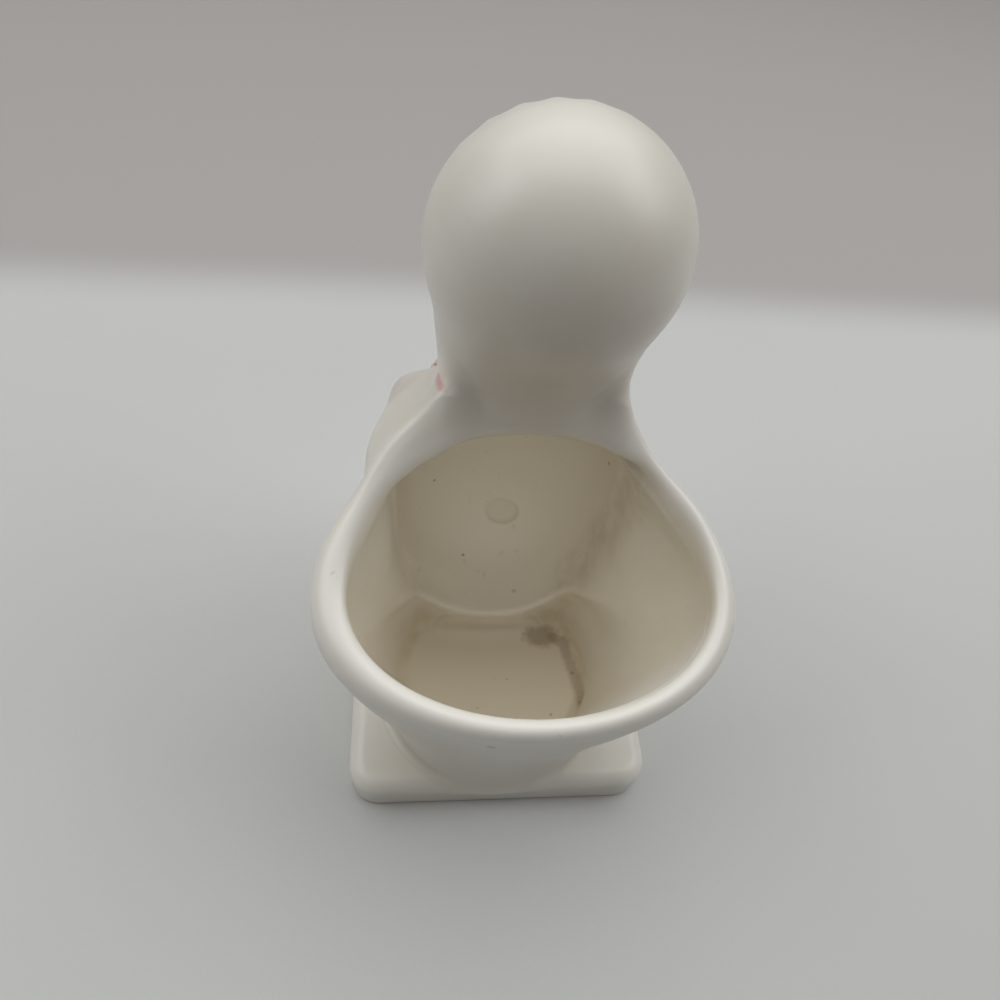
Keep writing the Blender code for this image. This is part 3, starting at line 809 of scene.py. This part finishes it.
class Nodes:
    def __init__(self, name):
        self.mat = bpy.data.materials.new(name)
        self.mat.use_nodes = True
        self.t = self.mat.node_tree
        self.bsdf = self.t.nodes["Principled BSDF"]
        self.coord = self.t.nodes.new("ShaderNodeTexCoord").outputs["Object"]
        self.pos = None

    def put(self, sock, val):
        if hasattr(val, "is_output"):
            self.t.links.new(val, sock)
        elif isinstance(val, (tuple, list)) and sock.type == "RGBA" and len(val) == 3:
            sock.default_value = (*val, 1.0)
        else:
            sock.default_value = val

    def math(self, op, a, b=0.0, c=None, clamp=False):
        n = self.t.nodes.new("ShaderNodeMath")
        n.operation = op
        n.use_clamp = clamp
        self.put(n.inputs[0], a)
        self.put(n.inputs[1], b)
        if c is not None:
            self.put(n.inputs[2], c)
        return n.outputs[0]

    def attr(self, name):
        n = self.t.nodes.new("ShaderNodeAttribute")
        n.attribute_name = name
        return n.outputs["Fac"]

    def noise(self, scale, detail=3.0, rough=0.5, offset=None):
        n = self.t.nodes.new("ShaderNodeTexNoise")
        vec = self.coord
        if offset:
            m = self.t.nodes.new("ShaderNodeVectorMath")
            m.operation = "ADD"
            self.put(m.inputs[0], vec)
            m.inputs[1].default_value = offset
            vec = m.outputs[0]
        self.put(n.inputs["Vector"], vec)
        n.inputs["Scale"].default_value = scale
        n.inputs["Detail"].default_value = detail
        n.inputs["Roughness"].default_value = rough
        return n.outputs["Fac"]

    def ramp(self, val, a, b, lo=0.0, hi=1.0, smooth=True):
        n = self.t.nodes.new("ShaderNodeMapRange")
        n.interpolation_type = "SMOOTHSTEP" if smooth else "LINEAR"
        self.put(n.inputs["Value"], val)
        n.inputs["From Min"].default_value = a
        n.inputs["From Max"].default_value = b
        n.inputs["To Min"].default_value = lo
        n.inputs["To Max"].default_value = hi
        return n.outputs["Result"]

    def mix(self, fac, a, b):
        n = self.t.nodes.new("ShaderNodeMix")
        n.data_type = "RGBA"
        self.put(n.inputs[0], fac)
        self.put(n.inputs[6], a)
        self.put(n.inputs[7], b)
        return n.outputs[2]

    def mm(self):
        if self.pos is None:
            self.pos = self.vec("SCALE", self.coord, scale=1000.0)
        return self.pos

    def xyz(self):
        n = self.t.nodes.new("ShaderNodeSeparateXYZ")
        self.put(n.inputs[0], self.mm())
        return n.outputs[0], n.outputs[1], n.outputs[2]

    def vec(self, op, a, b=None, scale=None):
        n = self.t.nodes.new("ShaderNodeVectorMath")
        n.operation = op
        self.put(n.inputs[0], a)
        if b is not None:
            self.put(n.inputs[1], b)
        if scale is not None:
            self.put(n.inputs["Scale"], scale)
        return n.outputs["Value" if op in ("LENGTH", "DOT_PRODUCT") else "Vector"]

    def ragged(self, d, rag, scale):
        if not rag:
            return d
        return self.math("ADD", d, self.math("MULTIPLY", self.math("SUBTRACT", self.noise(scale, 4.0, 0.6), 0.5), rag))

    def blob(self, c, r, soft=0.4, rag=0.0, scale=260.0):
        """1 inside an ellipsoid at c, falling to 0 across its edge."""
        d = self.vec("LENGTH", self.vec("DIVIDE", self.vec("SUBTRACT", self.mm(), c), r))
        return self.ramp(self.ragged(d, rag, scale), 1.0 - soft, 1.0 + soft, 1.0, 0.0)

    def stroke(self, pts, r, soft=0.4, rag=0.0, scale=260.0):
        """1 along a line through pts, r thick each side."""
        best = None
        for a, b in zip(pts[:-1], pts[1:]):
            ab = tuple(b[i] - a[i] for i in range(3))
            q = self.vec("SUBTRACT", self.mm(), a)
            t = self.math("MULTIPLY", self.vec("DOT_PRODUCT", q, ab), 1.0 / sum(x * x for x in ab), clamp=True)
            d = self.vec("LENGTH", self.vec("SUBTRACT", q, self.vec("SCALE", ab, scale=t)))
            best = d if best is None else self.math("MINIMUM", best, d)
        d = self.ragged(self.math("DIVIDE", best, r), rag, scale)
        return self.ramp(d, 1.0 - soft, 1.0 + soft, 1.0, 0.0)

    def mul(self, *vals):
        out = vals[0]
        for v in vals[1:]:
            out = self.math("MULTIPLY", out, v)
        return out

    def most(self, *vals):
        out = vals[0]
        for v in vals[1:]:
            out = self.math("MAXIMUM", out, v)
        return out


WHITE, WARM = (0.80, 0.775, 0.72), (0.755, 0.715, 0.635)
POOL = (0.62, 0.575, 0.48)                  # glaze gathered in the hollows
THIN = (0.84, 0.82, 0.775)                  # glaze drawn thin over the edges
BEIGE, BEIGE_2 = (0.80, 0.75, 0.645), (0.76, 0.695, 0.57)
# painted light: a lighter cream laid on the front bowl and under the lip, where they sit in shade
BOWL_PAINTED_LIGHT = (0.96, 0.905, 0.795)
BACK_WALL = (0.95, 0.93, 0.88)
POT_FLOOR = (0.80, 0.725, 0.58)
DIRT, DIRT_2 = (0.30, 0.215, 0.12), (0.46, 0.355, 0.22)
CLAY = (0.66, 0.55, 0.43)
SKIN, BLUSH = (0.84, 0.665, 0.555), (0.78, 0.40, 0.35)
PINK, PINK_2 = (0.72, 0.43, 0.43), (0.64, 0.345, 0.355)
LIP, BROW, LASH = (0.66, 0.245, 0.235), (0.36, 0.235, 0.145), (0.115, 0.07, 0.05)
HAIR, HAIR_2 = (0.62, 0.455, 0.27), (0.52, 0.36, 0.195)


def white(m, base=WHITE, warm=WARM):
    """Cloudy white glaze, pooled in hollows and thin on edges, with a few iron specks."""
    col = m.mix(m.ramp(m.noise(26.0, 4.0, 0.55), 0.32, 0.72), base, warm)
    col = m.mix(m.mul(m.ramp(m.noise(95.0, 3.0, 0.6, (0.3, 0.1, 0.7)), 0.5, 0.8), 0.25), col, warm)
    h = m.attr("hollow")
    col = m.mix(m.mul(m.ramp(h, 0.04, 0.45), 0.55), col, POOL)
    col = m.mix(m.mul(m.ramp(h, -0.05, -0.4), 0.6), col, THIN)
    speck = m.mul(m.ramp(m.noise(520.0, 1.0, 0.4, (0.9, 0.4, 0.2)), 0.80, 0.825), 0.4)
    return m.mix(speck, col, DIRT_2)


def nape_painted_shade(m, col):
    """Painted shade: a warm grey-brown darkening on the back of the head and down the nape."""
    x, y, z = m.xyz()
    ax = m.math("ABSOLUTE", m.math("SUBTRACT", x, HX))
    on = m.mul(m.ramp(y, -17.0, -6.0), m.ramp(y, 12.0, 2.0), m.ramp(z, 145.0, 128.0), m.ramp(z, 94.0, 101.0),
               m.ramp(ax, 23.0, 12.0), m.ramp(m.noise(48.0, 3.0, 0.55, (0.7, 0.2, 0.4)), 0.25, 0.7, 0.75, 1.0))
    return m.mix(m.mul(on, 0.5), col, (0.60, 0.53, 0.46))


def finish_glaze(m, col, lo=0.295, hi=0.375):
    m.put(m.bsdf.inputs["Base Color"], col)
    rough = m.ramp(m.noise(40.0, 2.0, 0.5), 0.2, 0.8, lo, hi)
    m.put(m.bsdf.inputs["Roughness"], rough)
    return rough


def pot_glaze():
    m = Nodes("white_glaze")
    x, y, z = m.xyz()
    # painted shade down the nape, over the white glaze
    out = nape_painted_shade(m, white(m))
    out = m.mix(m.mul(m.blob((9.2, 49.6, 74.1), (0.9, 0.9, 0.6), 0.5, 0.6, 900.0), 0.75), out, DIRT)
    out = m.mix(m.mul(m.stroke([(36.6, 18.4, 88.6), (39.0, 19.6, 87.6), (41.6, 20.6, 84.5)], 0.3, 0.7, 0.7, 500.0), 0.3),
                out, (0.42, 0.40, 0.38))
    # inside: a cream coat gone beige, dirt lying where water stood, with painted light lifting the shaded bowl and the
    # shadow under the lip
    ins = m.mix(m.ramp(m.noise(34.0, 4.0, 0.6, (0.2, 0.5, 0.1)), 0.3, 0.72), BEIGE, BEIGE_2)
    ins = m.mix(m.ramp(y, 22.0, 36.0), ins, BACK_WALL)
    # painted light: the front bowl, in the shade of the head and neck, made lighter
    ins = m.mix(m.mul(m.ramp(y, -1.0, -14.0), m.ramp(z, 22.0, 30.0), 0.8), ins, BOWL_PAINTED_LIGHT)
    tide = m.math("ADD", z, m.mul(m.math("SUBTRACT", m.noise(60.0, 4.0, 0.6), 0.5), 5.0))
    ins = m.mix(m.mul(m.ramp(tide, 24.5, 17.5), m.ramp(y, -9.0, -4.0)), ins, POT_FLOOR)
    h = m.attr("hollow")
    # a darker brown in the concave creases low in the pot
    film = m.ramp(m.noise(150.0, 4.0, 0.65), 0.35, 0.7, 0.35, 1.0)
    crease = m.mul(m.ramp(h, 0.06, 0.42), m.ramp(z, 40.0, 22.0), film)
    ins = m.mix(m.mul(crease, 0.42), ins, DIRT_2)
    right = m.stroke([(-23.4, -0.8, 92.0), (-26.0, -7.0, 72.0), (-24.3, -10.0, 54.0), (-20.6, -9.0, 36.0),
                      (-16.4, -5.8, 25.0)], 5.2, 0.85, 0.7, 120.0)
    ins = m.mix(m.mul(right, film, 0.42), ins, DIRT_2)
    left = m.stroke([(26.0, -3.0, 70.0), (24.0, -8.0, 50.0), (19.5, -6.4, 30.0)], 4.6, 0.85, 0.7, 120.0)
    ins = m.mix(m.mul(left, film, 0.24), ins, DIRT_2)
    # painted light over the shadow beneath the lip shelf
    under = m.mul(m.blob((2.0, -6.0, 17.0), (19.0, 6.0, 5.0), 0.5, 0.4, 140.0), 0.75)
    ins = m.mix(under, ins, BOWL_PAINTED_LIGHT)
    patch = m.blob((-13.8, -1.0, 16.5), (4.8, 3.0, 3.0), 0.45, 1.5, 330.0)
    ins = m.mix(m.mul(patch, 0.55), ins, DIRT)
    tail = m.stroke([(-17.0, -0.8, 16.8), (-19.8, 1.4, 16.8), (-21.6, 10.0, 16.8), (-22.9, 19.6, 17.6)], 1.5, 0.6, 1.3, 330.0)
    ins = m.mix(m.mul(tail, 0.46), ins, DIRT)
    mark = m.blob((-1.3, -29.4, 39.9), (4.9, 7.0, 3.7), 0.12, 0.25, 160.0)
    core = m.blob((-1.0, -29.4, 40.3), (4.3, 7.0, 3.1), 0.22, 0.25, 160.0)
    ring = m.math("SUBTRACT", mark, m.mul(core, 0.72), clamp=True)
    ins = m.mix(m.mul(ring, 0.30), ins, DIRT_2)
    for c, r, a in (((9.6, -19.8, 31.0), 0.55, 0.8), ((-23.7, -19.0, 74.6), 0.75, 0.75), ((18.5, -30.1, 52.6), 0.6, 0.75),
                    ((-4.7, -9.3, 28.5), 0.9, 0.4), ((-7.6, -9.2, 27.4), 0.7, 0.35), ((-22.4, 19.6, 17.3), 0.9, 0.9),
                    ((-14.1, 22.4, 16.4), 0.5, 0.8), ((-21.4, 10.4, 16.6), 0.7, 0.8), ((-2.6, 12.0, 16.5), 0.4, 0.6),
                    ((6.0, 20.0, 16.5), 0.35, 0.6), ((-30.5, 9.0, 44.0), 0.5, 0.4), ((-5.0, -26.6, 36.0), 1.0, 0.25)):
        ins = m.mix(m.mul(m.blob(c, (0.7 * r, 0.7 * r, 0.7 * r), 0.5, 0.7, 900.0), 0.85 * a), ins, DIRT)
    ins = m.mix(m.mul(m.ramp(m.noise(300.0, 3.0, 0.6, (0.6, 0.2, 0.9)), 0.66, 0.74), 0.16), ins, DIRT_2)
    cav = m.attr("cav")
    lip = m.mul(m.ramp(h, -0.04, -0.3), m.ramp(z, 40.0, 30.0), 0.12)
    ins = m.mix(lip, ins, BACK_WALL)
    col = m.mix(cav, out, ins)
    rough = finish_glaze(m, col)
    m.put(m.bsdf.inputs["Roughness"], m.math("ADD", rough, m.mul(cav, 0.16)))
    return m.mat


def head_glaze():
    m = Nodes("head_glaze")
    x, y, z = m.xyz()
    # painted shade on the back of the head and the nape
    col = nape_painted_shade(m, white(m))
    skin = m.mix(m.ramp(m.noise(70.0, 3.0), 0.3, 0.7), SKIN, tuple(c * 0.96 for c in SKIN))
    ex = m.math("SUBTRACT", m.math("ABSOLUTE", m.math("SUBTRACT", x, HX)), 7.9)       # from the middle of each eye
    ax = m.math("ABSOLUTE", m.math("SUBTRACT", x, HX))
    for s in (-1.0, 1.0):
        skin = m.mix(m.mul(m.blob((HX + s * 10.2, -40.0, 121.4), (6.2, 9.0, 5.0), 0.75), 0.5), skin, BLUSH)
    skin = m.mix(m.mul(m.blob((HX, -46.0, 123.6), (2.2, 3.0, 1.8), 0.8), 0.22), skin, BLUSH)
    skin = m.mix(m.mul(m.blob((HX, -38.0, 113.8), (4.0, 6.0, 2.6), 0.8), 0.2), skin, BLUSH)
    skin = m.mix(m.mul(m.ramp(m.attr("hollow"), 0.05, 0.5), 0.4), skin, BLUSH)
    # brows, closed lids with lashes, lips
    ex2 = m.math("MULTIPLY", ex, ex)
    brow_z = m.math("ADD", m.mul(ex2, -0.055), 135.6)
    taper = m.ramp(m.math("ABSOLUTE", ex), 1.0, 5.0, 0.50, 0.16)
    brow = m.ramp(m.math("DIVIDE", m.math("ABSOLUTE", m.math("SUBTRACT", z, brow_z)), taper), 0.5, 1.5, 1.0, 0.0)
    brow = m.mul(brow, m.ramp(m.math("ABSOLUTE", ex), 4.6, 5.2, 1.0, 0.0), 0.75)
    lash_z = m.math("ADD", m.mul(ex2, 0.078), 126.75)
    taper = m.ramp(m.math("ABSOLUTE", ex), 2.0, 4.9, 0.34, 0.18)
    near = m.math("SUBTRACT", z, lash_z)
    lid = m.ramp(m.math("DIVIDE", m.math("ABSOLUTE", near), taper), 0.6, 1.4, 1.0, 0.0)
    lid = m.mul(lid, m.ramp(m.math("ABSOLUTE", ex), 4.6, 5.0, 1.0, 0.0))
    fan = m.math("SUBTRACT", ex, m.mul(near, m.mul(ex, -0.16)))                       # hairs spread outwards
    comb = m.math("ABSOLUTE", m.math("SUBTRACT", m.math("FRACT", m.math("ADD", m.math("DIVIDE", fan, 1.25), 20.0)), 0.5))
    hairs = m.mul(m.ramp(comb, 0.10, 0.20, 1.0, 0.0), m.ramp(near, -1.5, -1.1), m.ramp(near, 0.1, -0.1),
                  m.ramp(m.math("ABSOLUTE", ex), 4.3, 4.6, 1.0, 0.0), 0.85)
    front = m.ramp(y, -33.0, -35.0)
    skin = m.mix(m.mul(brow, front), skin, BROW)
    skin = m.mix(m.mul(m.most(lid, hairs), front), skin, LASH)
    bow = m.math("MULTIPLY", m.math("SUBTRACT", 1.0, m.ramp(ax, 0.0, 1.3)), -0.5)
    top = m.math("ADD", bow, m.math("SUBTRACT", 119.95, m.mul(ax, 0.36)))
    low = m.math("ADD", m.mul(ax, ax, 0.17), 116.7)
    lips = m.mul(m.ramp(m.math("SUBTRACT", z, top), -0.15, 0.2, 1.0, 0.0),
                 m.ramp(m.math("SUBTRACT", z, low), -0.2, 0.15), m.ramp(ax, 2.9, 3.3, 1.0, 0.0), front)
    skin = m.mix(m.mul(lips, 0.8), skin, LIP)
    part = m.ramp(m.math("ABSOLUTE", m.math("SUBTRACT", z, m.math("ADD", m.mul(ax, ax, 0.03), 118.2))), 0.12, 0.34, 1.0, 0.0)
    skin = m.mix(m.mul(part, m.ramp(ax, 2.6, 3.1, 1.0, 0.0), front, 0.75), skin, (0.36, 0.10, 0.10))
    col = m.mix(m.attr("skin"), col, skin)
    strands = m.ramp(m.math("FRACT", m.math("ADD", m.mul(m.math("ADD", x, m.mul(z, 0.55)), 1.7), m.mul(m.noise(180.0), 2.0))),
                     0.1, 0.9)
    col = m.mix(m.attr("hair"), col, m.mix(strands, HAIR, HAIR_2))
    tie = m.stroke([(19.8, -12.4, 108.4), (18.9, -9.4, 108.4)], 0.85, 0.5, 0.5, 400.0)
    col = m.mix(m.mul(tie, 0.85), col, PINK)
    finish_glaze(m, col)
    return m.mat


def limb_glaze():
    m = Nodes("limb_glaze")
    col = white(m)
    skin = m.mix(m.ramp(m.noise(70.0, 3.0), 0.3, 0.7), SKIN, tuple(c * 0.96 for c in SKIN))
    skin = m.mix(m.mul(m.ramp(m.attr("hollow"), 0.05, 0.6), 0.45), skin, BLUSH)
    col = m.mix(m.attr("skin"), col, skin)
    # grey-pink on the sleeves: partly a pink airbrush tint, partly painted shade on the outward side; a plain tint on
    # the bootee fronts
    tint_and_shade = m.mul(m.attr("airbrush_and_shade"), m.ramp(m.noise(200.0, 4.0, 0.6), 0.25, 0.65, 0.55, 1.0))
    col = m.mix(m.mul(tint_and_shade, 0.62), col, (0.58, 0.475, 0.465))
    edge = m.mul(m.attr("trim"), m.ramp(m.attr("hollow"), 0.1, -0.35, 0.25, 0.9))
    col = m.mix(edge, col, PINK)
    finish_glaze(m, col)
    return m.mat


def trim_glaze():
    m = Nodes("trim_glaze")
    x, y, z = m.xyz()
    col = white(m)
    reach = m.vec("LENGTH", m.vec("MULTIPLY", m.vec("SUBTRACT", m.mm(), BRIM_C), (1.0, 0.0, 1.0)))
    brim = m.mul(m.ramp(reach, BRIM_OUT - 1.3, BRIM_OUT - 0.3), m.ramp(z, 104.0, 107.0))
    col = m.mix(m.mul(brim, 0.75), col, PINK)
    rad = m.vec("LENGTH", m.vec("DIVIDE", m.vec("SUBTRACT", m.mm(), (0.6, 0.0, 94.0)), (19.5, 1e6, 17.5)))
    bib = m.mul(m.ramp(rad, 0.955, 1.0), m.ramp(z, 104.0, 101.0))
    col = m.mix(m.mul(bib, 0.7), col, PINK)
    finish_glaze(m, col)
    return m.mat


def pink_glaze():
    m = Nodes("pink_glaze")
    col = m.mix(m.ramp(m.noise(120.0, 4.0, 0.6), 0.3, 0.7), PINK, PINK_2)
    h = m.attr("hollow")
    col = m.mix(m.mul(m.ramp(h, 0.02, 0.45), 0.7), col, (0.50, 0.215, 0.235))
    col = m.mix(m.mul(m.ramp(h, -0.08, -0.6), 0.55), col, (0.80, 0.60, 0.585))
    finish_glaze(m, col)
    return m.mat


def plinth_glaze():
    m = Nodes("plinth_glaze")
    x, y, z = m.xyz()
    col = white(m)
    drip = m.math("ADD", z, m.mul(m.math("SUBTRACT", m.noise(130.0, 3.0, 0.6), 0.5), 1.2))
    col = m.mix(m.mul(m.ramp(drip, 3.4, 0.8), 0.4), col, POOL)
    inner = m.mul(m.ramp(x, 33.0, 32.0), m.ramp(x, -33.0, -32.0), m.ramp(y, 33.0, 32.0),
                  m.ramp(y, PL_Y0 + 7.0, PL_Y0 + 8.0), m.ramp(z, 5.0, 4.0))
    foot = m.most(m.ramp(drip, 0.9, 0.35), inner)
    clay = m.mix(m.ramp(m.noise(240.0, 4.0, 0.65), 0.3, 0.7), CLAY, tuple(c * 0.84 for c in CLAY))
    clay = m.mix(m.mul(m.ramp(m.noise(38.0, 3.0, 0.5, (0.4, 0.8, 0.3)), 0.52, 0.7), 0.35), clay, DIRT_2)
    col = m.mix(foot, col, clay)
    rough = finish_glaze(m, col)
    m.put(m.bsdf.inputs["Roughness"], m.math("ADD", rough, m.mul(foot, 0.5), clamp=True))
    return m.mat


MATS = {"white_glaze": pot_glaze(), "plinth_glaze": plinth_glaze(), "head_glaze": head_glaze(),
        "limb_glaze": limb_glaze(), "trim_glaze": trim_glaze(), "pink_glaze": pink_glaze()}
for node, ob in PIECES.items():
    ob.data.materials.append(MATS[SLOTS[node]])
    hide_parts(node)
    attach(ob, "root")
for node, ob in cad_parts.items():
    if node not in PIECES:
        ob.data.materials.clear()
        ob.data.materials.append(MATS[SLOTS[node]])

# =====================================================================
#  Stage, light, camera
# =====================================================================
sc = bpy.context.scene


def stage_mesh(name, verts, faces, mat):
    me = bpy.data.meshes.new(name)
    me.from_pydata(verts, [], faces)
    me.materials.append(mat)
    ob = bpy.data.objects.new(name, me)
    sc.collection.objects.link(ob)
    return ob


def paper(name):
    """Pale card, darker towards +Y and -X, and darkened past y = -158 mm in front of the figure as painted shade
    standing in for a backdrop wall in shade.
    """
    m = Nodes(name)
    x, y, z = m.xyz()
    col = m.mix(m.ramp(m.noise(5.0, 4.0), 0.3, 0.7), (0.60, 0.605, 0.60), (0.585, 0.59, 0.588))
    col = m.mix(m.ramp(m.noise(900.0, 2.0), 0.3, 0.7, 0.0, 0.12), col, (0.54, 0.54, 0.54))
    # painted shade: the far floor darkens as a backdrop wall in shade would
    line = m.math("ADD", y, m.mul(m.math("SUBTRACT", m.noise(3.0, 2.0), 0.5), 18.0))
    col = m.mix(m.ramp(line, -158.0, -196.0), col, (0.415, 0.395, 0.39))
    # darker towards +Y and -X
    side = m.math("ADD", x, m.mul(y, -1.1))
    col = m.mix(m.ramp(side, -70.0, -330.0, 0.0, 0.4), col, (0.46, 0.45, 0.445))
    m.put(m.bsdf.inputs["Base Color"], col)
    m.bsdf.inputs["Roughness"].default_value = 0.75
    return m.mat


floor = stage_mesh("floor", [(-3, -3, 0), (3, -3, 0), (3, 3, 0), (-3, 3, 0)], [(0, 1, 2, 3)], paper("floor_paper"))

world = bpy.data.worlds.new("studio")
world.use_nodes = True
world.node_tree.nodes["Background"].inputs["Color"].default_value = (1.0, 0.91, 0.79, 1.0)
world.node_tree.nodes["Background"].inputs["Strength"].default_value = 0.061
sc.world = world


def area(name, loc, target, size, power, color=(1.0, 1.0, 1.0)):
    li = bpy.data.lights.new(name, "AREA")
    li.shape = "RECTANGLE"
    li.size, li.size_y = size
    li.energy = power
    li.color = color
    ob = bpy.data.objects.new(name, li)
    ob.location = loc
    d = Vector(target) - Vector(loc)
    ob.rotation_euler = d.to_track_quat("-Z", "Y").to_euler()
    sc.collection.objects.link(ob)
    return ob


area("key", (0.0, -0.36, 1.0), (0.0, -0.12, 0.0), (1.9, 1.1), 10.7, (0.985, 1.0, 0.99))
area("left_wall", (0.78, 0.0, 0.72), (0.0, -0.02, 0.09), (0.6, 0.6), 2.0)
area("right_wall", (-0.78, 0.0, 0.72), (0.0, -0.02, 0.09), (0.6, 0.6), 2.4)

fill = bpy.data.lights.new("fill", "SPOT")                # softly into the opening
fill.energy, fill.spot_size, fill.spot_blend, fill.shadow_soft_size = 0.85, math.radians(10.4), 1.0, 0.03
fill_ob = bpy.data.objects.new("fill", fill)
fill_ob.location = (0.035, 0.310, 0.415)
fill_ob.rotation_euler = (Vector((0.002, -0.022, 0.042)) - fill_ob.location).to_track_quat("-Z", "Y").to_euler()
sc.collection.objects.link(fill_ob)

# camera: elevation, roll and turn as the photograph, object frame in metres
CAM_F, CAM_E, CAM_ROLL, CAM_YAW = 750.0, 53.0, 9.818, -11.327
CAM_C = Vector((24.711, 95.257, 213.477)) * MM
e, r, w = (math.radians(a) for a in (CAM_E, CAM_ROLL, CAM_YAW))
fwd = Vector((math.sin(w) * math.cos(e), -math.cos(w) * math.cos(e), -math.sin(e)))
right0 = Vector((-math.cos(w), -math.sin(w), 0.0))
up0 = right0.cross(fwd)
right = right0 * math.cos(r) + up0 * math.sin(r)
up = up0 * math.cos(r) - right0 * math.sin(r)
cam_data = bpy.data.cameras.new("camera")
cam_data.sensor_fit = "HORIZONTAL"
cam_data.sensor_width = 36.0
cam_data.lens = 36.0 * CAM_F / 1000.0
cam_data.clip_start = 0.005
cam_data.dof.use_dof = False
cam = bpy.data.objects.new("camera", cam_data)
cam.matrix_world = Matrix(((right.x, up.x, -fwd.x, CAM_C.x),
                           (right.y, up.y, -fwd.y, CAM_C.y),
                           (right.z, up.z, -fwd.z, CAM_C.z),
                           (0, 0, 0, 1)))
sc.collection.objects.link(cam)
sc.camera = cam
sc.view_settings.view_transform = "Standard"
sc.view_settings.look = "None"
